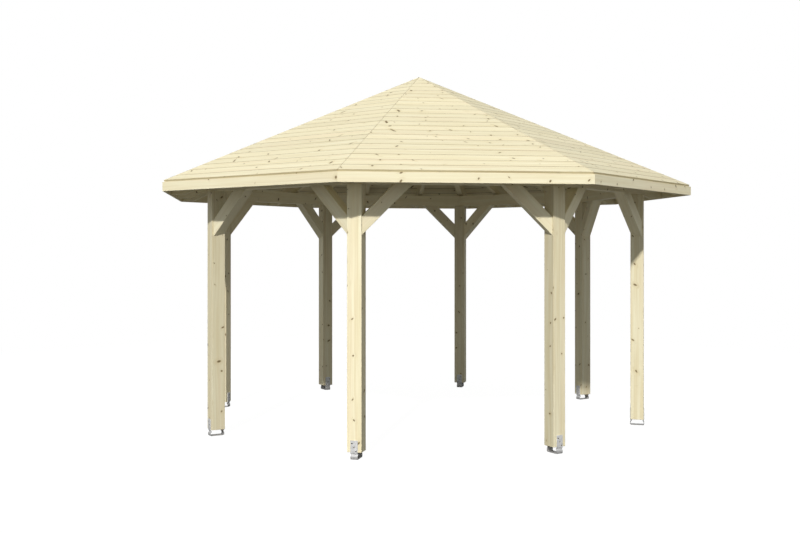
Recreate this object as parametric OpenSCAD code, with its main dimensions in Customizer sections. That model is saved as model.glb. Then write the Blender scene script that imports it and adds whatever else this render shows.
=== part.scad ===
// Eight-sided open garden gazebo in planed softwood: eight posts on steel shoes,
// a ring of beams with knee braces, hip and jack rafters, board roof and fascia.
// Origin: centre of the plan at ground level. +Z up, one side faces -Y.

/* [Plan] */
// Distance from the middle of the gazebo to the middle of each post
post_ring_r = 2112; // [1600:1:2600]
// How far the fascia stands out past the outer face of the ring beams
eave_overhang = 384; // [250:1:450]

/* [Posts] */
// Width of the square posts
post_w = 120; // [90:1:160]
// Length of the posts
post_len = 2110; // [1700:1:2800]

/* [Post shoes] */
// Height of the post's foot above the ground
shoe_drop = 56; // [45:1:90]
// How far the steel strap runs up the post
shoe_up = 95; // [85:1:150]
// Width of the steel strap
strap_w = 60; // [40:1:80]
// Thickness of the steel strap
strap_t = 5; // [3:0.5:8]
// Inner radius of the strap's two bends at the ground
bend_r = 6; // [3:0.5:10]
// How far the strap is folded in under the post
fold_in = 10; // [6:0.5:14]
// Half the height of that fold
fold_half = 16; // [12:0.5:18]
// Diameter of the screw holes in the strap
screw_hole_d = 11; // [6:0.5:13]
// Spacing of the screw holes up the strap
screw_pitch = 30; // [25:0.5:32]
// Sideways step from one screw hole to the next
screw_step = 17; // [10:0.5:20]
// Height of the lowest screw hole above the post's foot
screw_first = 11; // [8:0.5:15]
// Diameter of the anchor bolt hole in the bottom of the strap
anchor_hole_d = 13; // [9:0.5:18]

/* [Ring beams] */
// Width of the beams, seen from above
beam_w = 100; // [80:1:120]
// Height of the beams
beam_h = 120; // [90:1:180]
// How far the beams' middle lies outside the line through the posts
beam_set_out = 15; // [0:1:20]

/* [Knee braces] */
// Height of the brace's timber, across its length
brace_d = 105; // [80:1:140]
// Distance along the beam, and down the post, that the brace's lower edge spans
brace_span = 440; // [350:1:560]

/* [Rafters] */
// Depth of the rafters
rafter_d = 120; // [90:1:150]
// Width of the hip rafters
hip_w = 60; // [45:1:70]
// Width of the jack rafters
jack_w = 45; // [35:1:60]
// Distance between the two jack rafters of one side
jack_spacing = 650; // [500:1:760]
// Depth of the notch where a rafter sits on the beam's outer edge
seat_notch = 15; // [8:1:25]
// How far each face of the block at the top stands out past its rafter, on either side
hub_edge = 3; // [1:0.5:10]
// Gap left between the rafter ends and the bottom edge of the fascia
tail_lift = 5; // [2:1:12]

/* [Roof] */
// Slope of the roof
pitch = 25; // [18:0.5:32]
// Thickness of the roof boards
board_t = 18; // [15:0.5:24]
// Height of the fascia boards
fascia_h = 80; // [60:1:130]
// Thickness of the fascia boards
fascia_t = 18; // [15:0.5:28]

/* [Hidden] */
SIDES = 8;
SIDE_TURN = 360 / SIDES;
FRONT = -90;
HOLES = 3;
BEND_STEPS = 8;
REACH = 2 * post_ring_r + 4 * eave_overhang;

post_bottom = shoe_drop;
beam_bottom = post_bottom + post_len;
beam_top = beam_bottom + beam_h;

// Distances from the middle of the gazebo, square to a side.
post_line = post_ring_r * cos(SIDE_TURN / 2);
beam_in = post_line + beam_set_out - beam_w / 2;
beam_out = post_line + beam_set_out + beam_w / 2;
fascia_out = beam_out + eave_overhang;
fascia_back = fascia_out - fascia_t;

// Roof heights: the rafters sit on the beams, and the boards lie on the rafters.
rafter_rise = rafter_d / cos(pitch);
boards_under_beam = beam_top - seat_notch + rafter_rise;
boards_under_eave = boards_under_beam - (fascia_back - beam_out) * tan(pitch);
boards_under_apex = boards_under_beam + beam_out * tan(pitch);
fascia_top = boards_under_eave;
fascia_bottom = fascia_top - fascia_h;
tail_bottom = fascia_bottom + tail_lift;

// The block where the hip rafters meet, across its flats: a face for every rafter.
hub_w = (hip_w + 2 * hub_edge) / tan(SIDE_TURN / 2);

module wood() { color([0.93, 0.88, 0.72]) children(); }
module shaded_wood() { color([0.80, 0.74, 0.58]) children(); }
module steel() { color([0.72, 0.73, 0.74]) children(); }

// Corner i is where post i stands; side i runs from post i to post i + 1.
function corner_angle(i) = FRONT + (i - 1.5) * SIDE_TURN;
function side_angle(i) = FRONT + (i - 1) * SIDE_TURN;
module at_corner(i) { rotate([0, 0, corner_angle(i)]) children(); }
module at_side(i) { rotate([0, 0, side_angle(i)]) children(); }

// Points of an arc, for the bends of the strap.
function arc(x, y, r, a0, a1, n) = [
    for (k = [0:n]) [x + r * cos(a0 + (a1 - a0) * k / n), y + r * sin(a0 + (a1 - a0) * k / n)]
];

// A ring in plan, between two distances square to the sides.
function ring_corner(flat_r) = flat_r / cos(SIDE_TURN / 2);
function octagon(flat_r) = [
    for (i = [1:SIDES])
        [ring_corner(flat_r) * cos(corner_angle(i)), ring_corner(flat_r) * sin(corner_angle(i))]
];

// One side's piece of such a ring, with its ends mitred to its neighbours.
module mitred(flat_in, flat_out, height) {
    half = tan(SIDE_TURN / 2);
    linear_extrude(height)
        polygon([[flat_in, -flat_in * half], [flat_out, -flat_out * half],
                 [flat_out, flat_out * half], [flat_in, flat_in * half]]);
}

// A plate standing in the X-Z plane, centred on it, drawn as [distance out, height].
module upright(points, thickness) {
    translate([0, thickness / 2, 0])
        rotate([90, 0, 0])
            linear_extrude(thickness) polygon(points);
}

// Everything above the underside of one side's roof boards.
module above_rafters() {
    out = REACH / 2;
    upright([[-out, boards_under_apex + out * tan(pitch)],
             [out, boards_under_apex - out * tan(pitch)],
             [out, boards_under_apex + REACH],
             [-out, boards_under_apex + REACH]], REACH);
}

// ---- Posts and shoes ----

module post() {
    translate([post_ring_r - post_w / 2, -post_w / 2, post_bottom])
        cube([post_w, post_w, post_len]);
}

// One side of the strap, from its bend up to its top: out is 0 inside, strap_t outside.
function strap_side(out) =
    let (h = post_w / 2 + out, middle = post_bottom - fold_half,
         lean = atan(fold_in / fold_half), step = out * tan(lean / 2)) concat(
    arc(post_w / 2 - bend_r, strap_t + bend_r, bend_r + out, -90, 0, BEND_STEPS),
    [[h, middle - fold_half + step], [post_w / 2 - fold_in + out / cos(lean), middle],
     [h, post_bottom - step], [h, post_bottom + shoe_up]]
);
function reversed(list) = [for (k = [len(list) - 1:-1:0]) list[k]];
function flipped(list) = [for (p = list) [-p[0], p[1]]];

module post_shoe() {
    outline = concat(strap_side(strap_t), reversed(strap_side(0)),
                     flipped(strap_side(0)), reversed(flipped(strap_side(strap_t))));
    translate([post_ring_r, 0, 0])
        difference() {
            upright(outline, strap_w);
            translate([0, 0, -strap_t])
                cylinder(h = 3 * strap_t, d = anchor_hole_d, $fn = 32);
            for (k = [0:HOLES - 1])
                translate([-post_w, (1 - k) * screw_step, post_bottom + screw_first + k * screw_pitch])
                    rotate([0, 90, 0])
                        cylinder(h = 2 * post_w, d = screw_hole_d, $fn = 32);
        }
}

module post_shoes() {
    steel()
        for (i = [1:SIDES]) at_corner(i) post_shoe();
}

// ---- Ring beams and braces ----

module ring_beam() {
    translate([0, 0, beam_bottom])
        mitred(beam_in, beam_out, beam_h);
}

module beam_ring_space() {
    translate([0, 0, beam_bottom])
        linear_extrude(beam_h)
            difference() {
                polygon(octagon(beam_out));
                polygon(octagon(beam_in));
            }
}

// The brace on one side of a post: dir is 1 towards the next post, -1 towards the last one.
module brace(dir) {
    drop = brace_d / cos(45);
    slope = [[0, beam_bottom - brace_span], [brace_span, beam_bottom],
             [brace_span - drop, beam_bottom], [0, beam_bottom - brace_span + drop]];
    difference() {
        translate([post_ring_r, 0, 0])
            rotate([0, 0, dir * (90 + SIDE_TURN / 2)])
                translate([0, -dir * beam_set_out, 0])
                    upright(slope, beam_w);
        translate([0, dir * post_w / 2 - (dir > 0 ? REACH : 0), 0])
            cube([REACH, REACH, REACH]);
    }
}

module braces() {
    brace(1);
    brace(-1);
}

// ---- Rafters ----

// A rafter drawn along X, before it is fitted to the beams, the boards and the fascia.
module rafter_blank(width, slope) {
    rise = boards_under_apex;
    far = REACH / 2;
    upright([[0, rise], [far, rise - far * slope],
             [far, rise - rafter_rise - far * slope], [0, rise - rafter_rise]], width);
}

// The room the rafters may take: inside the fascia and above the cut of their tails.
module rafter_room() {
    translate([0, 0, tail_bottom])
        linear_extrude(boards_under_apex - tail_bottom + board_t)
            polygon(octagon(fascia_back));
}

module hub_blank() {
    translate([0, 0, boards_under_apex - REACH / 2])
        linear_extrude(REACH)
            rotate(SIDE_TURN / 2) polygon(octagon(hub_w / 2));
}

module hip_rafter() {
    difference() {
        intersection() {
            rafter_blank(hip_w, tan(pitch) * cos(SIDE_TURN / 2));
            rotate([0, 0, -corner_angle(1)]) rafter_room();
        }
        rotate([0, 0, -corner_angle(1)]) beam_ring_space();
        rotate([0, 0, SIDE_TURN / 2]) above_rafters();
        rotate([0, 0, -SIDE_TURN / 2]) above_rafters();
        rotate([0, 0, -corner_angle(1)]) hub_blank();
    }
}

module hip_rafters() {
    wood()
        for (i = [1:SIDES]) at_corner(i) hip_rafter();
}

// One jack rafter: hand is 1 on the side's left seen from the middle, -1 on its right.
module jack_rafter(hand) {
    difference() {
        intersection() {
            translate([0, hand * jack_spacing / 2, 0]) rafter_blank(jack_w, tan(pitch));
            rotate([0, 0, -side_angle(1)]) rafter_room();
        }
        rotate([0, 0, -side_angle(1)]) beam_ring_space();
        // The hip rafter's face, and all that lies beyond it.
        rotate([0, 0, hand * SIDE_TURN / 2])
            translate([-REACH / 2, hand > 0 ? -hip_w / 2 : hip_w / 2 - REACH, 0])
                cube([REACH, REACH, REACH]);
    }
}

module jack_rafters() {
    wood()
        for (i = [1:SIDES], hand = [-1, 1]) at_side(i) jack_rafter(hand);
}

module rafter_hub() {
    edge = boards_under_apex - hub_w / 2 / cos(SIDE_TURN / 2) * tan(pitch);
    foot = boards_under_apex - rafter_rise - hub_w / 2 * tan(pitch);
    wood()
        translate([0, 0, foot])
            linear_extrude(edge - foot)
                rotate(SIDE_TURN / 2) polygon(octagon(hub_w / 2));
}

// ---- Fascia and roof ----

module fascia() {
    translate([0, 0, fascia_bottom])
        mitred(fascia_back, fascia_out, fascia_h);
}

// One side of the board roof, its lower edge cut square to the slope.
module roof_panel() {
    reach = fascia_out;
    intersection() {
        upright([[0, boards_under_apex], [fascia_back, boards_under_eave],
                 [fascia_back + board_t * sin(pitch), boards_under_eave + board_t * cos(pitch)],
                 [0, boards_under_apex + board_t / cos(pitch)]], 2 * reach);
        translate([0, 0, boards_under_eave - board_t])
            mitred(0, reach, boards_under_apex);
    }
}

post_shoes();
for (i = [1:SIDES]) {
    wood() at_corner(i) post();
    shaded_wood() at_side(i) ring_beam();
    wood() at_corner(i) braces();
    wood() at_side(i) fascia();
    wood() at_side(i) roof_panel();
}
hip_rafters();
jack_rafters();
rafter_hub();
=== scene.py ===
# %% [markdown]
# # An open, eight-sided garden gazebo in planed spruce
# The gazebo is a carpenter's job: eight posts on steel shoes, a ring of beams held square by knee
# braces, rafters that meet in the middle, and a roof of level tongue and groove boards. This lesson
# makes its looks around a measured frame. The frame gives every length, and nothing here moves.

# %% Load the measured frame
import math
import bpy
import numpy as np
from mathutils import Matrix, Vector


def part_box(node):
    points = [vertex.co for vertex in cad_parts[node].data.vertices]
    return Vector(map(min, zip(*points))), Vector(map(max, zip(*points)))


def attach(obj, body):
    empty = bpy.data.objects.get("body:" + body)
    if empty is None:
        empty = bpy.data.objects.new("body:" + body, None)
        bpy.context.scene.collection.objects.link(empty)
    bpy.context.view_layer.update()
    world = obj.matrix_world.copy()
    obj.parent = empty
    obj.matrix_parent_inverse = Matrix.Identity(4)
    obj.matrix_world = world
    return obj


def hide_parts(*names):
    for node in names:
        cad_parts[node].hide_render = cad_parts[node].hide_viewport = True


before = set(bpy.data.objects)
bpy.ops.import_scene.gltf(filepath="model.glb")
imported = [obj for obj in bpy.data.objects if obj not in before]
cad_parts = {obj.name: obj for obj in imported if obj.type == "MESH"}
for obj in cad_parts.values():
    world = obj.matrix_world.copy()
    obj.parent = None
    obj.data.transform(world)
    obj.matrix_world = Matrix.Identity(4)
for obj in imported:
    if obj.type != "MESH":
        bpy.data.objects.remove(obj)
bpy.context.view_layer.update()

# %% [markdown]
# ## Where everything sits
# A carpenter works from a few set-out lines: how far the posts stand from the middle, how high the
# beams lie and where the eave ends. They are read from the frame's own pieces, so that the finished
# timbers lie exactly where the frame has them. One post stands between two sides, 22.5 degrees on.

# %% Set-out lines, in metres
SIDES = 8
TURN = math.radians(360 / SIDES)
HALF = TURN / 2
X, Y, Z = Vector((1, 0, 0)), Vector((0, 1, 0)), Vector((0, 0, 1))

def side_angle(i):
    """Which way side i faces; side 1 is the front."""
    return math.radians(-90) + (i - 1) * TURN

def corner_angle(i):
    """Where post i stands, between side i - 1 and side i."""
    return side_angle(i) - HALF

post_low, post_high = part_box("post_1")
post_mid = (post_low + post_high) / 2
post_ring = math.hypot(post_mid.x, post_mid.y)
post_w = (post_high.x - post_low.x) / (math.cos(HALF) + math.sin(HALF))
beam_low, beam_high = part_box("ring_beam_1")
fascia_low, fascia_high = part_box("fascia_1")
beam_out, beam_in = -beam_low.y, -beam_high.y
eave_out, eave_in = -fascia_low.y, -fascia_high.y
roof_low, roof_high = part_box("roof_panel_1")
board_t, nominal_pitch = 0.018, math.radians(25)
pitch = math.atan2(roof_high.z - roof_low.z - board_t / math.cos(nominal_pitch), eave_in)
print(f"post ring {post_ring:.4f}, post {post_w:.4f}, beams {beam_in:.4f} to {beam_out:.4f}")
print(f"eave {eave_in:.4f} to {eave_out:.4f}, pitch {math.degrees(pitch):.2f} degrees")

# %% [markdown]
# ## The camera
# The view is that of a standing person a little left of the middle, about ten metres back. It looks
# level, so the posts stay upright in the picture, and a small shift of the lens puts more sky in.

# %% Camera
EYE, HEADING = (-1.5444, -9.8110, 1.6576), math.radians(-7.85)
LENS_MM, LENS_SHIFT = 44.9, -0.0225
bpy.ops.object.camera_add(location=EYE, rotation=(math.radians(90), 0, HEADING))
camera = bpy.context.object
camera.name = "standing_view"
camera.data.lens = LENS_MM
camera.data.shift_y = LENS_SHIFT
bpy.context.scene.camera = camera
print("camera", [round(v, 3) for v in camera.location], "lens", camera.data.lens)

# %% [markdown]
# ## Light and floor
# Untreated spruce is nearly white, so the light decides how it reads. A low sun from the front left
# gives the crisp eave shadow on the posts. The sky is brightest low down, where the upright faces
# look, and dim overhead, so the roof isn't washed out. The floor is plain and pale. It turns to pure
# white a few metres out and throws little light back up, so the inside of the roof stays deep.

# %% A sun low in the front left
SUN_TILT, SUN_TURN = math.radians(58.8), math.radians(-19)
bpy.ops.object.light_add(type="SUN", rotation=(SUN_TILT, 0, SUN_TURN))
sun = bpy.context.object
sun.name = "low_sun"
sun.data.energy = 3.05
sun.data.angle = math.radians(2)
sun.data.color = (1.0, 0.985, 0.96)
print("sun", sun.data.energy, "at", round(90 - math.degrees(SUN_TILT), 1), "degrees")

# %% Helpers for node trees
def node(tree, kind, **settings):
    """Adds a node and sets its values; inputs are given as in_NAME or in_NUMBER."""
    made = tree.nodes.new(kind)
    for key, value in settings.items():
        if key.startswith("in_"):
            name = key[3:].replace("_", " ")
            made.inputs[int(name) if name.isdigit() else name].default_value = value
        else:
            setattr(made, key, value)
    return made

def wire(tree, *pairs):
    """Links nodes; each pair is an output and the input that it feeds."""
    for source, target in pairs:
        tree.links.new(source, target)

def blank_material(name):
    """A material with an empty node tree."""
    made = bpy.data.materials.new(name)
    made.use_nodes = True
    made.node_tree.nodes.clear()
    return made, made.node_tree

# %% Sky
LOW_SKY, HIGH_SKY = 0.72, 0.21
sky = bpy.data.worlds.new("pale_sky")
bpy.context.scene.world = sky
sky.use_nodes = True
tree = sky.node_tree
tree.nodes.clear()
way = node(tree, "ShaderNodeTexCoord")
climb = node(tree, "ShaderNodeSeparateXYZ")
dim = node(tree, "ShaderNodeMapRange", in_1=0.0, in_2=1.0, in_3=LOW_SKY, in_4=HIGH_SKY)
fill = node(tree, "ShaderNodeBackground", in_Color=(0.94, 0.98, 0.99, 1))
white = node(tree, "ShaderNodeBackground", in_Color=(1, 1, 1, 1), in_Strength=1.0)
seen = node(tree, "ShaderNodeLightPath")
mix = node(tree, "ShaderNodeMixShader")
out = node(tree, "ShaderNodeOutputWorld")
wire(tree, (way.outputs["Generated"], climb.inputs[0]), (climb.outputs[2], dim.inputs[0]),
     (dim.outputs[0], fill.inputs["Strength"]), (seen.outputs["Is Camera Ray"], mix.inputs[0]),
     (fill.outputs[0], mix.inputs[1]), (white.outputs[0], mix.inputs[2]),
     (mix.outputs[0], out.inputs[0]))
print("sky", LOW_SKY, "low down,", HIGH_SKY, "overhead")

# %% Floor
FLOOR_R, FLOOR_DROP = 60, 0.001
FADE_FROM, FADE_TO = 4.0, 9.0
bpy.ops.mesh.primitive_circle_add(vertices=96, radius=FLOOR_R, fill_type="NGON",
                                  location=(0, 0, -FLOOR_DROP))
floor = bpy.context.object
floor.name = "studio_floor"
pale, tree = blank_material("pale_floor")
ground = node(tree, "ShaderNodeTexCoord")
reach = node(tree, "ShaderNodeVectorMath", operation="LENGTH")
edge = node(tree, "ShaderNodeMapRange", interpolation_type="SMOOTHSTEP", in_1=FADE_FROM, in_2=FADE_TO)
shaded = node(tree, "ShaderNodeBsdfDiffuse", in_Color=(0.9, 0.9, 0.9, 1))
glow = node(tree, "ShaderNodeEmission", in_Color=(1, 1, 1, 1), in_Strength=1.10)
plain = node(tree, "ShaderNodeEmission", in_Color=(1, 1, 1, 1), in_Strength=1.0)
near = node(tree, "ShaderNodeMixShader", in_0=0.12)
both = node(tree, "ShaderNodeMixShader")
dull = node(tree, "ShaderNodeBsdfDiffuse", in_Color=(0.225, 0.222, 0.214, 1))
look = node(tree, "ShaderNodeLightPath")
final = node(tree, "ShaderNodeMixShader")
surface = node(tree, "ShaderNodeOutputMaterial")
wire(tree, (ground.outputs["Object"], reach.inputs[0]), (reach.outputs["Value"], edge.inputs[0]),
     (glow.outputs[0], near.inputs[1]), (shaded.outputs[0], near.inputs[2]),
     (edge.outputs[0], both.inputs[0]), (near.outputs[0], both.inputs[1]),
     (plain.outputs[0], both.inputs[2]), (look.outputs["Is Camera Ray"], final.inputs[0]),
     (dull.outputs[0], final.inputs[1]), (both.outputs[0], final.inputs[2]),
     (final.outputs[0], surface.inputs[0]))
floor.data.materials.append(pale)
bpy.context.scene.view_settings.view_transform = "Standard"
print("floor turns white between", FADE_FROM, "and", FADE_TO, "metres out")

# %% [markdown]
# ## How planed spruce looks
# Every timber has its own length, so its figure must run along that piece and not along the world.
# Each finished piece therefore carries an attribute called grain: how far along the piece a point
# lies, how far across the face, and a number that tells one board from the next. All the wood
# finishes read it. The figure itself is one node group with three parts: fine growth lines, soft
# broad streaks, and knots that push the lines aside.

# %% Helpers for sums, noise and colours between nodes
def feed(tree, socket, value):
    """Gives an input a plain value, or links another node's output to it."""
    if isinstance(value, (int, float, tuple)):
        socket.default_value = value
    else:
        tree.links.new(value, socket)

def calc(tree, operation, *values):
    """A Math node; each value is a number or another node's output."""
    made = node(tree, "ShaderNodeMath", operation=operation)
    for k, value in enumerate(values):
        feed(tree, made.inputs[k], value)
    return made.outputs[0]

def noise(tree, vector, scale, detail=2.0, roughness=0.5):
    """A soft random value that changes from place to place."""
    made = node(tree, "ShaderNodeTexNoise", in_Scale=scale, in_Detail=detail, in_Roughness=roughness)
    tree.links.new(vector, made.inputs["Vector"])
    return made.outputs["Fac"]

def stretch(tree, x, y, z):
    """A vector from three values, each a number or another node's output."""
    made = node(tree, "ShaderNodeCombineXYZ")
    for k, value in enumerate((x, y, z)):
        feed(tree, made.inputs[k], value)
    return made.outputs[0]

def ramp(tree, value, low, high, to_low=0.0, to_high=1.0):
    """A smooth step from one value to another; the last may be another node's output."""
    made = node(tree, "ShaderNodeMapRange", interpolation_type="SMOOTHSTEP",
                in_1=low, in_2=high, in_3=to_low)
    feed(tree, made.inputs[0], value)
    feed(tree, made.inputs[4], to_high)
    return made.outputs[0]

def blend_colour(tree, amount, low, high):
    """Mixes two colours; each is a tuple or another node's output."""
    made = node(tree, "ShaderNodeMix", data_type="RGBA", blend_type="MIX")
    feed(tree, made.inputs[0], amount)
    feed(tree, made.inputs[6], low)
    feed(tree, made.inputs[7], high)
    return made.outputs[2]

# %% The node group for the figure of the wood
figure = bpy.data.node_groups.new("spruce_figure", "ShaderNodeTree")
figure.interface.new_socket("Grain", in_out="INPUT", socket_type="NodeSocketVector")
for name, value in (("Line Spacing", 0.004), ("Streak Width", 0.02), ("Knot Length", 0.45),
                    ("Knot Width", 0.11), ("Knot Share", 0.6), ("Knot Size", 0.008),
                    ("Knot Draw", 0.28)):
    socket = figure.interface.new_socket(name, in_out="INPUT", socket_type="NodeSocketFloat")
    socket.default_value = value
for name in ("Lines", "Streaks", "Heart", "Board", "Knot", "Knot Core", "Halo", "Height"):
    figure.interface.new_socket(name, in_out="OUTPUT", socket_type="NodeSocketFloat")
tree = figure
given = node(tree, "NodeGroupInput")
parts = node(tree, "ShaderNodeSeparateXYZ")
tree.links.new(given.outputs["Grain"], parts.inputs[0])
along, across, board = parts.outputs
print("sockets of the figure", [item.name for item in figure.interface.items_tree])

# %% [markdown]
# ### Knots
# A knot is a branch cut through. Cells scattered over the face hold one each, but most stay empty.
# The cell's random numbers set the size and how slanted and drawn out the knot is, because a branch
# that is cut lengthwise shows as a slanted spike that runs across the board.

# %% Knots in the figure
cell_size = stretch(tree, given.outputs["Knot Length"], given.outputs["Knot Width"], 1.0)
cell_place = node(tree, "ShaderNodeVectorMath", operation="DIVIDE")
cells = node(tree, "ShaderNodeTexVoronoi", voronoi_dimensions="3D", in_Scale=1.0, in_Randomness=1.0)
to_knot = node(tree, "ShaderNodeVectorMath", operation="SUBTRACT")
real = node(tree, "ShaderNodeVectorMath", operation="MULTIPLY")
offset = node(tree, "ShaderNodeSeparateXYZ")
dice = node(tree, "ShaderNodeSeparateColor")
wire(tree, (stretch(tree, along, across, calc(tree, "MULTIPLY", board, 7.31)), cell_place.inputs[0]),
     (cell_size, cell_place.inputs[1]), (cell_place.outputs[0], cells.inputs["Vector"]),
     (cell_place.outputs[0], to_knot.inputs[0]), (cells.outputs["Position"], to_knot.inputs[1]),
     (to_knot.outputs[0], real.inputs[0]), (cell_size, real.inputs[1]),
     (real.outputs[0], offset.inputs[0]), (cells.outputs["Color"], dice.inputs[0]))
off_along, off_across, _ = offset.outputs
print("nodes to find the nearest knot", len(figure.nodes))

# %% The shape of each knot
chance = calc(tree, "FRACT", calc(tree, "MULTIPLY", dice.outputs[0], 7.3))
slant = calc(tree, "MULTIPLY_ADD", chance, 1.8, -0.9)
dx = calc(tree, "ADD", off_along, calc(tree, "MULTIPLY", off_across, slant))
drawn = ramp(tree, dice.outputs[2], 0.35, 1.0, 0.9, given.outputs["Knot Draw"])
dy = calc(tree, "MULTIPLY", off_across, drawn)
squares = calc(tree, "ADD", calc(tree, "POWER", dx, 2.0), calc(tree, "POWER", dy, 2.0))
knot_r = calc(tree, "SQRT", squares)
present = calc(tree, "LESS_THAN", dice.outputs[0], given.outputs["Knot Share"])
spread = calc(tree, "MULTIPLY_ADD", dice.outputs[1], 1.0, 0.35)
size = calc(tree, "MULTIPLY", given.outputs["Knot Size"], spread)
ragged = noise(tree, stretch(tree, along, across, board), 160, 2)
wobble = calc(tree, "MULTIPLY_ADD", ragged, 0.004, -0.002)
rim = calc(tree, "DIVIDE", calc(tree, "ADD", knot_r, wobble), size)
knot = calc(tree, "MULTIPLY", ramp(tree, rim, 1.25, 0.8), present)
core = calc(tree, "MULTIPLY", ramp(tree, rim, 0.85, 0.35), present)
halo = calc(tree, "MULTIPLY", ramp(tree, rim, 4.5, 0.8), present)
print("nodes with the knot's shape", len(figure.nodes))

# %% [markdown]
# ### Growth lines and streaks
# A sawn face shows growth rings as long lines that wander slowly. Near a knot they bend round it:
# the distance across the face is squeezed there. Two stretched noises make the fine lines, one more
# the broad streaks, a slow one the rosier heartwood, and a last one the tone of the whole board.

# %% Lines, streaks and the tone of each board
def long_noise(per_metre, sideways, layer, detail, roughness=0.5):
    """Noise drawn out along the fibres; layer keeps one board's figure from the next one's."""
    spot = stretch(tree, calc(tree, "MULTIPLY", along, per_metre), sideways, layer)
    return noise(tree, spot, 1.0, detail, roughness)

drift = long_noise(0.9, calc(tree, "MULTIPLY", across, 5.0), board, 2)
wandered = calc(tree, "ADD", across, calc(tree, "MULTIPLY_ADD", drift, 0.05, -0.025))
squeeze = calc(tree, "MULTIPLY", off_across, calc(tree, "MULTIPLY", halo, 0.7))
bent = calc(tree, "SUBTRACT", wandered, squeeze)
ring = calc(tree, "DIVIDE", bent, given.outputs["Line Spacing"])
wide = calc(tree, "DIVIDE", bent, given.outputs["Streak Width"])
fine = long_noise(0.55, ring, calc(tree, "MULTIPLY", board, 3.7), 3, 0.6)
late = long_noise(0.3, calc(tree, "MULTIPLY", ring, 0.45), calc(tree, "ADD", board, 9.2), 1)
lines = calc(tree, "MULTIPLY", ramp(tree, fine, 0.42, 0.68), ramp(tree, late, 0.35, 0.65, 0.35, 1.0))
streaks = long_noise(1.3, wide, calc(tree, "MULTIPLY_ADD", board, 1.9, 4.0), 3)
heart = long_noise(0.8, calc(tree, "MULTIPLY", bent, 11.0), calc(tree, "MULTIPLY_ADD", board, 2.3, 8.0),
                   3, 0.6)
tone = node(tree, "ShaderNodeTexWhiteNoise", noise_dimensions="1D")
tree.links.new(calc(tree, "ROUND", calc(tree, "MULTIPLY", board, 10.0)), tone.inputs["W"])
height = calc(tree, "SUBTRACT", calc(tree, "MULTIPLY", lines, 0.6), calc(tree, "MULTIPLY", knot, 0.5))
result = node(tree, "NodeGroupOutput")
for name, value in (("Lines", lines), ("Streaks", ramp(tree, streaks, 0.3, 0.7)),
                    ("Heart", ramp(tree, heart, 0.46, 0.72)), ("Board", tone.outputs["Value"]),
                    ("Knot", knot), ("Knot Core", core), ("Halo", halo), ("Height", height)):
    tree.links.new(value, result.inputs[name])
print("figure nodes", len(figure.nodes))

# %% [markdown]
# ### The wood finishes
# One recipe mixes the colours from the figure, and each kind of piece gets its own: posts are
# glued from clear lamellas, roof boards are knottier and their streaks finer.

# %% Timber materials
PALE, DEEP, LINE = (0.90, 0.840, 0.615, 1), (0.84, 0.760, 0.52, 1), (0.64, 0.53, 0.31, 1)
HEART = (0.86, 0.735, 0.515, 1)
KNOT, CORE = (0.29, 0.215, 0.10, 1), (0.12, 0.085, 0.04, 1)

def timber(name, lines, tints, spacing, streak, knots, tones=(PALE, DEEP, LINE, HEART), draw=0.28):
    """A planed spruce finish.

    lines is how strong the growth lines are, tints the darkest and palest board, knots the length
    and width of a knot's cell, the share of cells with a knot and its size, and draw how far a
    knot is drawn out across the board: 1 leaves it round.
    """
    pale_tone, deep_tone, line_tone, heart_tone = tones
    made, tree = blank_material(name)
    grain = node(tree, "ShaderNodeAttribute", attribute_name="grain")
    wood = node(tree, "ShaderNodeGroup", node_tree=figure, in_Line_Spacing=spacing,
                in_Streak_Width=streak, in_Knot_Length=knots[0], in_Knot_Width=knots[1],
                in_Knot_Share=knots[2], in_Knot_Size=knots[3], in_Knot_Draw=draw)
    tree.links.new(grain.outputs["Vector"], wood.inputs["Grain"])
    colour = blend_colour(tree, wood.outputs["Streaks"], pale_tone, deep_tone)
    rosy = calc(tree, "MULTIPLY", wood.outputs["Heart"], 0.55)
    colour = blend_colour(tree, rosy, colour, heart_tone)
    growth = calc(tree, "MULTIPLY", wood.outputs["Lines"], lines)
    darker = calc(tree, "MULTIPLY_ADD", wood.outputs["Halo"], 0.22, growth)
    colour = blend_colour(tree, darker, colour, line_tone)
    tint = ramp(tree, wood.outputs["Board"], 0.0, 1.0, tints[0], tints[1])
    shade = node(tree, "ShaderNodeVectorMath", operation="SCALE")
    wire(tree, (colour, shade.inputs[0]), (tint, shade.inputs[3]))
    branch = calc(tree, "MULTIPLY", wood.outputs["Knot"], 0.85)
    colour = blend_colour(tree, branch, shade.outputs[0], KNOT)
    branch_heart = calc(tree, "MULTIPLY", wood.outputs["Knot Core"], 0.8)
    colour = blend_colour(tree, branch_heart, colour, CORE)
    bump = node(tree, "ShaderNodeBump", in_Strength=0.25, in_Distance=0.0006)
    tree.links.new(wood.outputs["Height"], bump.inputs["Height"])
    rough = ramp(tree, wood.outputs["Lines"], 0.0, 1.0, 0.62, 0.5)
    shader = node(tree, "ShaderNodeBsdfPrincipled", in_IOR=1.45)
    shader.inputs["Specular IOR Level"].default_value = 0.35
    surface = node(tree, "ShaderNodeOutputMaterial")
    wire(tree, (colour, shader.inputs["Base Color"]), (rough, shader.inputs["Roughness"]),
         (bump.outputs[0], shader.inputs["Normal"]), (shader.outputs[0], surface.inputs[0]))
    return made

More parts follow.
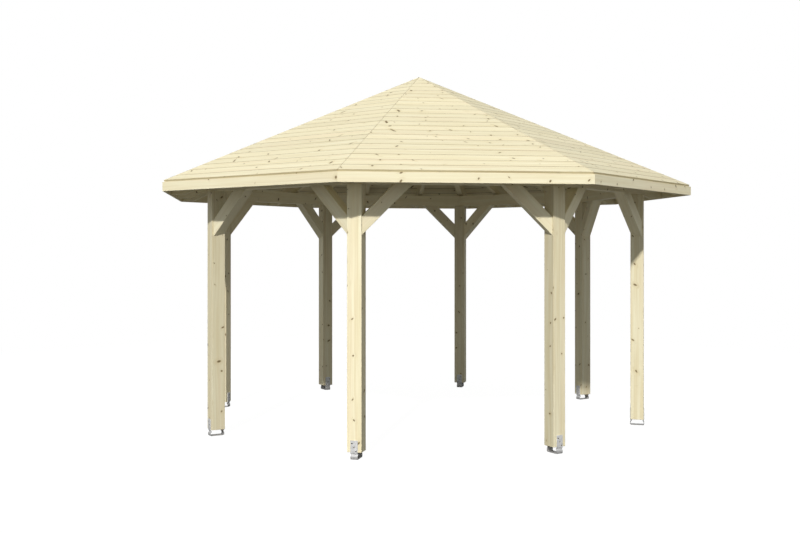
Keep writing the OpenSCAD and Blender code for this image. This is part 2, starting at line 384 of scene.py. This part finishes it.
# %% One finish for each kind of timber
post_wood = timber("post_spruce", 0.45, (0.765, 0.99), 0.0055, 0.030, (0.26, 0.11, 0.80, 0.0085),
                   (PALE, (0.81, 0.720, 0.475, 1), LINE, HEART), draw=0.55)
beam_wood = timber("beam_spruce", 0.30, (0.88, 1.02), 0.0045, 0.030, (0.42, 0.10, 0.55, 0.0075))
brace_wood = timber("brace_spruce", 0.28, (0.86, 1.02), 0.0045, 0.045, (0.28, 0.10, 0.50, 0.0080))
rafter_wood = timber("rafter_spruce", 0.30, (0.92, 1.02), 0.0045, 0.028, (0.45, 0.10, 0.60, 0.008))
fascia_wood = timber("fascia_spruce", 0.33, (0.935, 0.985), 0.0040, 0.024,
                     (0.30, 0.09, 0.60, 0.0085), draw=0.75)
board_wood = timber("roof_board_spruce", 0.36, (0.955, 1.025), 0.0040, 0.020,
                    (0.27, 0.11, 0.62, 0.0085), (PALE, (0.82, 0.735, 0.49, 1), LINE, HEART))
planed = (post_wood, beam_wood, brace_wood, rafter_wood, fascia_wood, board_wood)
print("planed finishes", [m.name for m in planed])

# %% [markdown]
# ### Sawn edges and joints
# Planed faces are pale. The eave edge of the lowest board and the V between two boards use the
# same figure in darker tones, so that each course of boards reads as a line; in the V the darkness is
# dirt and painted shade. The wall of a bored hole is darker still, as painted shade.

# %% Darker tones for edges, joints and holes
def darker_figure(name, tints, pale_tone, deep_tone, line_tone, heart_tone):
    """The same figure in darker tones: for the eave edge, for dirt and painted shade in the joints, and
    for painted shade in holes.
    """
    return timber(name, 0.4, tints, 0.0035, 0.020, (0.40, 0.10, 0.30, 0.006),
                  (pale_tone, deep_tone, line_tone, heart_tone))

# darker tones for the eave edge of the lowest roof board
edge_wood = darker_figure("darker_eave_edge_spruce", (0.95, 1.02), (0.58, 0.51, 0.33, 1),
                      (0.49, 0.42, 0.26, 1), (0.38, 0.30, 0.16, 1), (0.52, 0.43, 0.27, 1))
# dirt and painted shade: darker tones for the faces in the joints between roof boards
joint_dirt_and_shade_wood = darker_figure("board_joint_dirt_and_shade_spruce", (0.90, 1.05), (0.46, 0.39, 0.24, 1),
                       (0.38, 0.31, 0.18, 1), (0.28, 0.21, 0.11, 1), (0.42, 0.33, 0.20, 1))
# painted shade: near-black tones for the walls of bored holes
hole_shade_wood = darker_figure("bored_hole_painted_shade_spruce", (0.90, 1.00), (0.11, 0.09, 0.055, 1),
                      (0.08, 0.065, 0.04, 1), (0.05, 0.04, 0.025, 1), (0.09, 0.07, 0.045, 1))
print("rough finishes", [m.name for m in (edge_wood, joint_dirt_and_shade_wood, hole_shade_wood)])

# %% [markdown]
# ### End grain
# Where a timber is cut across, the growth rings show as arcs and the pores soak up light, so the
# cut is darker and duller than the planed face.

# %% End grain material
def ring_ends(name):
    """Growth rings round a heart that lies outside the section, as in timber sawn from one side."""
    made, tree = blank_material(name)
    grain = node(tree, "ShaderNodeAttribute", attribute_name="grain")
    from_heart = node(tree, "ShaderNodeMapping", in_Location=(0.03, 0.09, 0))
    rings = node(tree, "ShaderNodeTexWave", wave_type="RINGS", rings_direction="Z", wave_profile="SAW",
                 in_Scale=38.0, in_Distortion=1.2, in_Detail=2.0, in_Detail_Scale=0.6)
    wire(tree, (grain.outputs["Vector"], from_heart.inputs["Vector"]),
         (from_heart.outputs[0], rings.inputs["Vector"]))
    late_wood = ramp(tree, rings.outputs["Fac"], 0.25, 0.95)
    colour = blend_colour(tree, late_wood, (0.76, 0.63, 0.39, 1), (0.55, 0.40, 0.20, 1))
    bump = node(tree, "ShaderNodeBump", in_Strength=0.3, in_Distance=0.0005)
    tree.links.new(rings.outputs["Fac"], bump.inputs["Height"])
    shader = node(tree, "ShaderNodeBsdfPrincipled", in_Roughness=0.8)
    surface = node(tree, "ShaderNodeOutputMaterial")
    wire(tree, (colour, shader.inputs["Base Color"]), (bump.outputs[0], shader.inputs["Normal"]),
         (shader.outputs[0], surface.inputs[0]))
    return made

end_wood = ring_ends("spruce_end_grain")
print("end finish", end_wood.name)

# %% [markdown]
# ## Tools of the workshop
# Every timber is made the same way: a block of its section, its long edges eased, then cut to
# length with a saw plane. Each tool picks its piece first, because operators act on all that is
# selected. A side's pieces are made on a bench that points along X, and turned into place after.

# %% Selecting, adding a block and moving it
def pick(*pieces):
    """Selects just these pieces and makes the first one active."""
    bpy.ops.object.select_all(action="DESELECT")
    for piece in pieces:
        piece.select_set(True)
    bpy.context.view_layer.objects.active = pieces[0]

def block(name, low, high):
    """A block between two corners, with its place in its mesh."""
    low, high = Vector(low), Vector(high)
    bpy.ops.object.select_all(action="DESELECT")
    bpy.ops.mesh.primitive_cube_add(size=1, location=(low + high) / 2, scale=high - low)
    bpy.ops.object.transform_apply(location=True, rotation=True, scale=True)
    bpy.context.object.name = name
    return bpy.context.object

def place(piece, matrix):
    """Moves a piece and writes the move into its mesh."""
    pick(piece)
    piece.matrix_world = matrix
    bpy.ops.object.transform_apply(location=True, rotation=True, scale=True)

# %% Easing edges and sawing
def finish_with(piece, kind, **settings):
    """Adds a modifier, sets it and applies it."""
    pick(piece)
    made = piece.modifiers.new("work", kind)
    for key, value in settings.items():
        setattr(made, key, value)
    bpy.ops.object.modifier_apply(modifier=made.name)

def ease(piece, width, steps=2):
    """Planes a small round along every sharp edge."""
    finish_with(piece, "BEVEL", width=width, segments=steps, limit_method="ANGLE",
                angle_limit=math.radians(30), use_clamp_overlap=True)

def saw(piece, point, normal):
    """Cuts the piece at a plane, drops what lies on the normal's side and closes the cut."""
    pick(piece)
    bpy.ops.object.mode_set(mode="EDIT")
    bpy.ops.mesh.select_all(action="SELECT")
    bpy.ops.mesh.bisect(plane_co=point, plane_no=normal, use_fill=True, clear_outer=True)
    bpy.ops.object.mode_set(mode="OBJECT")

# %% [markdown]
# ### Laying the grain
# The figure needs to know which way a piece was sawn. This writes the grain attribute: each face is
# measured along the piece and across itself, and the eased edges follow the face beside them. Faces
# that cut across the piece, more than SAWN_END square to the fibres, get the end grain. The numbers
# of the logs only tell the figures apart.

# %% The log that each kind of timber is sawn from
POST_LOG, BEAM_LOG, BRACE_LOG, RAFTER_LOG = 147.0, 20.0, 40.0, 60.0
FASCIA_LOG, BOARD_LOG = 122.9, 100.0
NEXT_RAFTER, NEXT_BOARD = 1.7, 1.9
SAWN_END = 0.72
FACE_SHIFT, FACE_LAYER = 0.37, 0.3

def lay_grain(piece, along, facing, seed, wood):
    """along is the direction of the fibres, facing one of the planed faces, seed the log."""
    along, facing = Vector(along).normalized(), Vector(facing).normalized()
    beside = along.cross(facing).normalized()
    mesh = piece.data
    mesh.materials.clear()
    mesh.materials.append(wood)
    mesh.materials.append(end_wood)
    grain = mesh.attributes.new("grain", "FLOAT_VECTOR", "CORNER")
    values = np.zeros((len(mesh.loops), 3), np.float32)
    for face in mesh.polygons:
        end = abs(face.normal.dot(along)) > SAWN_END
        turned = math.atan2(face.normal.dot(beside), face.normal.dot(facing))
        quarter = round(turned / (math.pi / 2)) % 4
        across = beside if quarter % 2 == 0 else facing
        face.material_index = 1 if end else 0
        for k in face.loop_indices:
            spot = mesh.vertices[mesh.loops[k].vertex_index].co
            if end:
                values[k] = (spot.dot(beside), spot.dot(facing), seed)
            else:
                values[k] = (spot.dot(along), spot.dot(across) + FACE_SHIFT * quarter,
                             seed + FACE_LAYER * quarter)
    grain.data.foreach_set("vector", values.ravel())

print("logs", POST_LOG, BEAM_LOG, BRACE_LOG, RAFTER_LOG, FASCIA_LOG, BOARD_LOG)

# %% [markdown]
# ### All round the gazebo
# The gazebo looks the same from every side, so each pattern piece is made once and copied eight
# times. Real timbers are never twins, so every copy also moves on to another stretch of the log. A
# finished copy then rides on the frame and stands for the frame's own piece.

# %% Copies and the last touches
NEXT_STRETCH = np.array((2.13, 0.61, 5.3), np.float32)

def set_round(pattern, name, angle, turn_of_figure):
    """A copy with a mesh of its own, turned about the middle and with a figure of its own."""
    pick(pattern)
    bpy.ops.object.duplicate()
    copy = bpy.context.object
    copy.name = name
    place(copy, Matrix.Rotation(angle, 4, "Z"))
    grain = copy.data.attributes["grain"]
    values = np.zeros(len(grain.data) * 3, np.float32)
    grain.data.foreach_get("vector", values)
    values = values.reshape(-1, 3) + NEXT_STRETCH * turn_of_figure
    grain.data.foreach_set("vector", values.ravel())
    return copy

def leave(piece, slot, *nodes):
    """The piece is finished: it rides on the gazebo and stands for its frame pieces."""
    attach(piece, "root")
    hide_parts(*nodes)

def open_edges(piece):
    """How many edges don't join exactly two faces; a closed solid has none."""
    uses = {}
    for face in piece.data.polygons:
        for edge in face.edge_keys:
            uses[edge] = uses.get(edge, 0) + 1
    return sum(1 for n in uses.values() if n != 2)

def all_round(pattern, name, angle, slot, node_name):
    """Sets the pattern round on all eight sides, finishes each copy and clears the bench."""
    for i in range(1, SIDES + 1):
        copy = set_round(pattern, f"{name}_{i}", angle(i), i)
        leave(copy, slot, f"{node_name}_{i}")
    bpy.data.objects.remove(pattern)
    print(f"{name}_1 to {name}_{SIDES}, faces each", len(copy.data.polygons),
          "open edges", open_edges(copy))

# %% [markdown]
# ## Posts
# A post is a square glued timber, planed on four sides. Its foot stands free in the shoe, and three
# holes go through it where the shoe is screwed on, stepped sideways so that they don't split it.
# Their bored walls get the darkest wood as painted shade, because little light comes back out.

# %% A post's pattern, drilled
EASED = 0.003
POST_HOLE_R, DRILL_REACH = 0.0054, 0.1
HOLE_SIDESTEP, HOLE_RISE, FIRST_HOLE_UP = 0.017, 0.030, 0.011
post_x = (post_ring - post_w / 2, post_ring + post_w / 2)
post = block("post_pattern", (post_x[0], -post_w / 2, post_low.z),
             (post_x[1], post_w / 2, post_high.z))
ease(post, EASED)
screw_places = [((1 - k) * HOLE_SIDESTEP, post_low.z + FIRST_HOLE_UP + k * HOLE_RISE)
                for k in range(3)]

def drill(piece, radius, start, end, steps=24):
    """Drills a round hole between two points."""
    start, end = Vector(start), Vector(end)
    bpy.ops.object.select_all(action="DESELECT")
    bpy.ops.mesh.primitive_cylinder_add(vertices=steps, radius=radius, depth=(end - start).length,
                                        location=(start + end) / 2,
                                        rotation=(end - start).to_track_quat("Z", "Y").to_euler())
    drill_bit = bpy.context.object
    finish_with(piece, "BOOLEAN", object=drill_bit, operation="DIFFERENCE", solver="EXACT")
    bpy.data.objects.remove(drill_bit)

for y, z in screw_places:
    drill(post, POST_HOLE_R, (post_ring - DRILL_REACH, y, z), (post_ring + DRILL_REACH, y, z))
print("screw holes", [(round(y, 3), round(z, 3)) for y, z in screw_places])

# %% Wood on the posts
lay_grain(post, Z, X, POST_LOG, post_wood)
# painted shade: the walls of the screw holes get the near-black hole finish
post.data.materials.append(hole_shade_wood)
bored = post.data.materials.find(hole_shade_wood.name)
for face in post.data.polygons:
    inside = math.hypot(face.center.x - post_ring, face.center.y) < post_w / 2 - 0.001
    if inside and face.material_index == 0:
        face.material_index = bored
all_round(post, "planed_post", corner_angle, "post_timber", "post")

# %% [markdown]
# ## Ring beams
# Eight beams lie on the posts and meet over them in a mitre. The mitre plane stands upright and
# holds the gazebo's axis, so one saw cut on each end of a straight timber gives it.

# %% Ring beams
def mitre(piece, gap=0.0004):
    """Saws both ends of a side's piece to the planes that part it from its neighbours."""
    for hand in (1, -1):
        normal = Vector((-math.sin(HALF), hand * math.cos(HALF), 0))
        saw(piece, -gap * normal, normal)

beam_half_uncut = 1.0
beam = block("beam_pattern", (beam_in, -beam_half_uncut, beam_low.z),
             (beam_out, beam_half_uncut, beam_high.z))
ease(beam, EASED)
mitre(beam)
lay_grain(beam, Y, X, BEAM_LOG, beam_wood)
all_round(beam, "mitred_beam", side_angle, "beam_timber", "ring_beam")

# %% [markdown]
# ## Knee braces
# A brace leans at 45 degrees from the post's side to the underside of the beam. It is cut upright
# where it meets the post and level where it meets the beam, and its outer face is flush with the
# beam's. Two of them, mirror images, belong to each post.

# %% Joining pieces
def join(name, pieces):
    """Makes one object of several pieces."""
    pick(*pieces)
    if len(pieces) > 1:
        bpy.ops.object.join()
    pieces[0].name = name
    return pieces[0]

# %% Knee braces
brace_deep, brace_span = 0.105, 0.440
uncut_from, uncut_to = -0.3, 1.0
brace_wide = beam_out - beam_in
line_up = (beam_in + beam_out) / 2 - post_ring * math.cos(HALF)
braces = []
for hand in (1, -1):
    brace = block("brace", (uncut_from, -brace_wide / 2, -brace_deep / 2),
                  (uncut_to, brace_wide / 2, brace_deep / 2))
    ease(brace, EASED)
    foot_up = Matrix.Translation((0, 0, beam_low.z - brace_span + brace_deep / math.sqrt(2)))
    rise = foot_up @ Matrix.Rotation(math.radians(-45), 4, "Y")
    swing = Matrix.Rotation(hand * (math.pi / 2 + HALF), 4, "Z")
    stand = (Matrix.Translation((post_ring, 0, 0)) @ swing
             @ Matrix.Translation((0, -hand * line_up, 0)) @ rise)
    place(brace, stand)
    saw(brace, (0, 0, beam_low.z), Z)
    saw(brace, (0, hand * post_w / 2, 0), (0, -hand, 0))
    turn = stand.to_3x3()
    lay_grain(brace, turn @ X, turn @ Y, BRACE_LOG + hand, brace_wood)
    braces.append(brace)
brace_pair = join("brace_pattern", braces)
all_round(brace_pair, "knee_braces", corner_angle, "brace_timber", "braces")

# %% [markdown]
# ## Rafters
# The rafters' cuts are the carpenter's hardest work: a notch over the beam, a level tail behind the
# fascia, a bevel where two roof sides meet. The frame has those cuts already, so each timber starts
# as a merged copy of it, gets its edges eased and its grain laid along its own slope.

# %% Rafters from the frame's own cuts
def bearing(part):
    """Which way a part lies from the middle."""
    spots = [v.co for v in part.data.vertices]
    return math.atan2(sum(v.y for v in spots), sum(v.x for v in spots))

def timbers_from(node_name, name, wood, slope, edge=0.0025):
    """Timbers with the frame's own cuts; slope gives the way the fibres run at a place."""
    pick(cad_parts[node_name])
    bpy.ops.object.duplicate()
    copy = bpy.context.object
    copy.parent = None
    for key in list(copy.keys()):
        del copy[key]
    bpy.ops.object.mode_set(mode="EDIT")
    bpy.ops.mesh.select_all(action="SELECT")
    bpy.ops.mesh.remove_doubles(threshold=0.00005)
    bpy.ops.mesh.dissolve_limited(angle_limit=math.radians(1))
    bpy.ops.mesh.separate(type="LOOSE")
    bpy.ops.object.mode_set(mode="OBJECT")
    parts = sorted(bpy.context.selected_objects, key=bearing)
    for k, part in enumerate(parts):
        ease(part, edge)
        middle = sum((v.co for v in part.data.vertices), Vector()) / len(part.data.vertices)
        way = slope(middle)
        lay_grain(part, way, Z.cross(way), RAFTER_LOG + NEXT_RAFTER * k, wood)
    return join(name, parts)

# %% Hip and jack rafters, and the block at the tip
hip_fall = math.tan(pitch) * math.cos(HALF)

def along_hip(spot):
    """A hip rafter points straight out from the middle."""
    return Vector((spot.x, spot.y, -math.hypot(spot.x, spot.y) * hip_fall))

def along_side(spot):
    """A jack rafter points square to its side."""
    facing = round((math.atan2(spot.y, spot.x) - side_angle(1)) / TURN) * TURN + side_angle(1)
    return Vector((math.cos(facing), math.sin(facing), -math.tan(pitch)))

hips = timbers_from("hip_rafters", "hip_rafter_timbers", rafter_wood, along_hip)
leave(hips, "rafter_timber", "hip_rafters")
jacks = timbers_from("jack_rafters", "jack_rafter_timbers", rafter_wood, along_side)
leave(jacks, "rafter_timber", "jack_rafters")
hub = timbers_from("rafter_hub", "apex_block", rafter_wood, lambda spot: Z)
leave(hub, "rafter_timber", "rafter_hub")
print("rafters: open edges", open_edges(hips), open_edges(jacks), open_edges(hub))

# %% [markdown]
# ## Fascia
# A board on edge closes the rafters' tails on every side and meets its neighbours in a mitre. Three
# of its long edges are eased. The fourth, at the top of its back, stays sharp, because the roof
# boards close on it there and a rounded edge would let a thread of sunlight through.

# %% Bevelling chosen edges
def chosen(piece, test_face=None, test_edge=None):
    """Selects, for edit mode, the faces or edges that a test picks."""
    mesh = piece.data
    for group in (mesh.vertices, mesh.edges, mesh.polygons):
        group.foreach_set("select", [False] * len(group))
    for face in mesh.polygons:
        if test_face and test_face(face):
            face.select = True
    for edge in mesh.edges:
        if test_edge and test_edge([mesh.vertices[v].co for v in edge.vertices]):
            edge.select = True

def bevel_edges(piece, test, offset, steps):
    """Bevels the edges whose two ends pass a test."""
    pick(piece)
    chosen(piece, test_edge=test)
    bpy.ops.object.mode_set(mode="EDIT")
    bpy.ops.mesh.select_mode(type="EDGE")
    bpy.ops.mesh.bevel(offset=offset, segments=steps, affect="EDGES")
    bpy.ops.mesh.select_mode(type="FACE")
    bpy.ops.object.mode_set(mode="OBJECT")

# %% Fascia boards
def eased_on_fascia(ends):
    """The long edges, but not the one at the top of the back."""
    lengthwise = abs(ends[0].y - ends[1].y) > 1
    top_of_back = all(q.x < eave_in + 0.001 and q.z > fascia_low.z + 0.01 for q in ends)
    return lengthwise and not top_of_back

fascia_half_uncut, fascia_round, fascia_gap = 1.1, 0.002, 0.0003
fascia = block("fascia_pattern", (eave_in, -fascia_half_uncut, fascia_low.z),
               (eave_out, fascia_half_uncut, fascia_high.z))
bevel_edges(fascia, eased_on_fascia, fascia_round, 2)
mitre(fascia, fascia_gap)
lay_grain(fascia, Y, X, FASCIA_LOG, fascia_wood)
all_round(fascia, "fascia_board", side_angle, "fascia_board", "fascia")

# %% [markdown]
# ## Roof boards
# Each side of the roof is laid from the eave up with tongue and groove boards, level all round. A
# board covers 121 mm and its long edges are chamfered above and below, so every joint shows as a
# small V. The boards are made flat on the bench, sawn to the hips' planes there, and the whole side
# is tipped up to its slope. The lowest board is ripped narrower, and the top one ends in a point.

# %% Measures of the roof boards, and tongues and grooves
cover, first_cover, chamfer, joint_gap, hip_gap = 0.121, 0.108, 0.0038, 0.0016, 0.0014
tongue_inset, tongue_out = 0.0028, 0.0060
groove_inset, groove_in = 0.0025, 0.0070
spare, narrowest = 0.05, 0.004
tip_up = Matrix.Translation((eave_in, 0, roof_low.z)) @ Matrix.Rotation(pitch, 4, "Y")
flat = tip_up.inverted()
slope_length = eave_in / math.cos(pitch) + board_t * math.tan(pitch)

def push_face(piece, test, inset, push):
    """Insets the face that a test picks and pushes it along X, as a tongue or a groove."""
    chosen(piece, test_face=test)
    bpy.ops.object.mode_set(mode="EDIT")
    bpy.ops.mesh.inset(thickness=inset)
    bpy.ops.mesh.extrude_region_move(TRANSFORM_OT_translate={"value": (push, 0, 0)})
    bpy.ops.object.mode_set(mode="OBJECT")

print(f"slope {slope_length:.3f}, cover {cover}")

# %% One roof board
def roof_board(low, high, number):
    """One board between two heights up the slope, with its tongue, groove and chamfers."""
    first = number == 0
    half = (eave_out - low * math.cos(pitch)) * math.tan(HALF) + spare
    top = -high + joint_gap / 2
    bottom = -low if first else -low - joint_gap / 2
    board = block("roof_board", (top, -half, 0), (bottom, half, board_t))
    sides = {round(top, 5)} if first else {round(top, 5), round(bottom, 5)}

    def chamfered(ends):
        """A long edge of a side that meets another board."""
        lengthwise = abs(ends[0].x - ends[1].x) < 1e-6 and abs(ends[0].z - ends[1].z) < 1e-6
        return lengthwise and round(ends[0].x, 5) in sides

    bevel_edges(board, chamfered, chamfer, 1)
    push_face(board, lambda face: face.normal.x < -0.99, tongue_inset, -tongue_out)
    if not first:
        push_face(board, lambda face: face.normal.x > 0.99, groove_inset, -groove_in)
    for hand in (1, -1):
        normal = flat.to_3x3() @ Vector((-math.sin(HALF), hand * math.cos(HALF), 0))
        saw(board, flat @ Vector((0, 0, 0)) - hip_gap * normal, normal)
    lay_grain(board, Y, Z, BOARD_LOG + NEXT_BOARD * number, board_wood)
    board.data.materials.append(joint_dirt_and_shade_wood)
    board.data.materials.append(edge_wood)
    joint, ripped = (board.data.materials.find(wood.name) for wood in (joint_dirt_and_shade_wood, edge_wood))
    # joint faces get dirt and painted shade; the eave edge of the lowest board gets darker tones
    for face in board.data.polygons:
        if face.material_index == 0 and abs(face.normal.z) < 0.99:
            face.material_index = ripped if first and face.normal.x > 0.99 else joint
    return board

# %% All the roof boards
boards, low = [], 0.0
while low < slope_length - narrowest:
    high = low + (cover if boards else first_cover)
    boards.append(roof_board(low, high, len(boards)))
    low = high
print("courses", len(boards))
side = join("side_of_boards", boards)
place(side, tip_up)
all_round(side, "roof_boards", side_angle, "roof_board", "roof_panel")

# %% [markdown]
# ## Post shoes
# A shoe is one flat steel strap, bent twice at the ground and folded in under the post's foot, so
# that the post stands clear of the wet. It is drawn as the strap's inner face, one plane pushed on
# edge by edge, then given its thickness. The zinc is dull and cloudy, and darker near the ground as
# painted shade. The walls of the screw holes are painted near-black as painted shade.

# %% Galvanised steel
steel, tree = blank_material("galvanised_strap")
spot = node(tree, "ShaderNodeTexCoord")
spangle = node(tree, "ShaderNodeTexVoronoi", in_Scale=90.0, in_Randomness=1.0)
flake = node(tree, "ShaderNodeSeparateColor")
tall = node(tree, "ShaderNodeSeparateXYZ")
wire(tree, (spot.outputs["Object"], spangle.inputs["Vector"]),
     (spangle.outputs["Color"], flake.inputs[0]), (spot.outputs["Object"], tall.inputs[0]))
cloud = noise(tree, spot.outputs["Object"], 35.0, 3)
zinc = blend_colour(tree, flake.outputs[0], (0.575, 0.575, 0.575, 1), (0.705, 0.705, 0.71, 1))
zinc = blend_colour(tree, ramp(tree, cloud, 0.35, 0.75, 0.0, 0.5), zinc, (0.46, 0.46, 0.465, 1))
# painted shade: the zinc turns darker towards the ground, below about 50 mm
shade_near_ground = calc(tree, "ADD", tall.outputs[2], calc(tree, "MULTIPLY_ADD", cloud, 0.008, -0.004))
zinc = blend_colour(tree, ramp(tree, shade_near_ground, 0.012, 0.050, 0.50, 0.0), zinc, (0.16, 0.155, 0.15, 1))
shader = node(tree, "ShaderNodeBsdfPrincipled", in_Metallic=0.15)
bump = node(tree, "ShaderNodeBump", in_Strength=0.15, in_Distance=0.0004)
surface = node(tree, "ShaderNodeOutputMaterial")
dull_flakes = ramp(tree, flake.outputs[1], 0.0, 1.0, 0.42, 0.58)
wire(tree, (cloud, bump.inputs["Height"]), (bump.outputs[0], shader.inputs["Normal"]),
     (zinc, shader.inputs["Base Color"]), (dull_flakes, shader.inputs["Roughness"]),
     (shader.outputs[0], surface.inputs[0]))
print("zinc nodes", len(tree.nodes))

# %% Painted shade in the screw holes
hole_shade_steel = bpy.data.materials.new("hole_shade_steel")
hole_shade_steel.use_nodes = True
painted_hole_shade = hole_shade_steel.node_tree.nodes["Principled BSDF"].inputs
painted_hole_shade["Base Color"].default_value = (0.07, 0.068, 0.066, 1)
painted_hole_shade["Roughness"].default_value = 0.8
print("bare steel", hole_shade_steel.name)

# %% The strap, bent and folded
_, shoe_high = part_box("post_shoes")
strap_w, strap_t, bend = 0.060, 0.005, 0.006
fold_in, fold_half = 0.010, 0.016
half = post_w / 2
foot = post_low.z
bpy.ops.object.select_all(action="DESELECT")
bpy.ops.mesh.primitive_plane_add(size=1, location=(0, 0, strap_t))
shoe = bpy.context.object
shoe.name = "shoe_pattern"
shoe.scale = (2 * half, strap_w, 1)
bpy.ops.object.transform_apply(location=True, rotation=True, scale=True)

def at_bend(ends, turn_x):
    """Whether an edge of the flat bottom lies where a leg of the strap turns up."""
    return all(abs(q.x - turn_x) < 1e-6 and abs(q.z - strap_t) < 1e-6 for q in ends)

leg_runs = ((0, foot - 2 * fold_half - strap_t), (-fold_in, fold_half), (fold_in, fold_half),
            (0, shoe_high.z - foot))
for hand in (1, -1):
    chosen(shoe, test_edge=lambda ends: at_bend(ends, hand * half))
    bpy.ops.object.mode_set(mode="EDIT")
    bpy.ops.mesh.select_mode(type="EDGE")
    for dx, dz in leg_runs:
        bpy.ops.mesh.extrude_region_move(TRANSFORM_OT_translate={"value": (hand * dx, 0, dz)})
    bpy.ops.object.mode_set(mode="OBJECT")
bevel_edges(shoe, lambda ends: at_bend(ends, half) or at_bend(ends, -half), bend, 6)
bpy.ops.object.mode_set(mode="EDIT")
bpy.ops.mesh.select_all(action="SELECT")
bpy.ops.mesh.normals_make_consistent(inside=False)
bpy.ops.object.mode_set(mode="OBJECT")
print("faces of the bent strap", len(shoe.data.polygons))

# %% Its thickness and holes
STRAP_HOLE_R, ANCHOR_HOLE_R, EASED_STEEL = 0.0055, 0.0065, 0.0004
bottom = next(f for f in shoe.data.polygons if f.center.z < strap_t + 1e-5 and abs(f.normal.z) > 0.9)
outward = -1.0 if bottom.normal.z > 0 else 1.0
finish_with(shoe, "SOLIDIFY", thickness=strap_t, offset=outward, use_even_offset=True)
for y, z in screw_places:
    drill(shoe, STRAP_HOLE_R, (-DRILL_REACH, y, z), (DRILL_REACH, y, z), steps=32)
drill(shoe, ANCHOR_HOLE_R, (0, 0, -2 * strap_t), (0, 0, 4 * strap_t), steps=32)
ease(shoe, EASED_STEEL, 1)
print("shoe's open edges", open_edges(shoe))

# %% Zinc on the shoes, and all eight
def in_screw_hole(face):
    """Whether a face is part of the wall of a screw hole."""
    near = STRAP_HOLE_R + 0.0001
    inside = any(math.hypot(face.center.y - y, face.center.z - z) < near for y, z in screw_places)
    return inside and abs(face.normal.x) < 0.1

shoe.data.materials.append(steel)
shoe.data.materials.append(hole_shade_steel)
# painted shade: the walls of the screw holes get the near-black hole steel
for face in shoe.data.polygons:
    if in_screw_hole(face):
        face.material_index = shoe.data.materials.find(hole_shade_steel.name)
pick(shoe)
bpy.ops.object.shade_smooth_by_angle(angle=math.radians(25))
place(shoe, Matrix.Translation((post_ring, 0, 0)))
shoes = []
for i in range(1, SIDES + 1):
    pick(shoe)
    bpy.ops.object.duplicate()
    shoes.append(bpy.context.object)
    place(shoes[-1], Matrix.Rotation(corner_angle(i), 4, "Z"))
bpy.data.objects.remove(shoe)
shoes = join("strap_shoes", shoes)
leave(shoes, "galvanised_steel", "post_shoes")
shoe_box = (*shoes.bound_box[0], *shoes.bound_box[6])
print("shoes", SIDES, "open edges", open_edges(shoes), "box", [round(v, 4) for v in shoe_box])
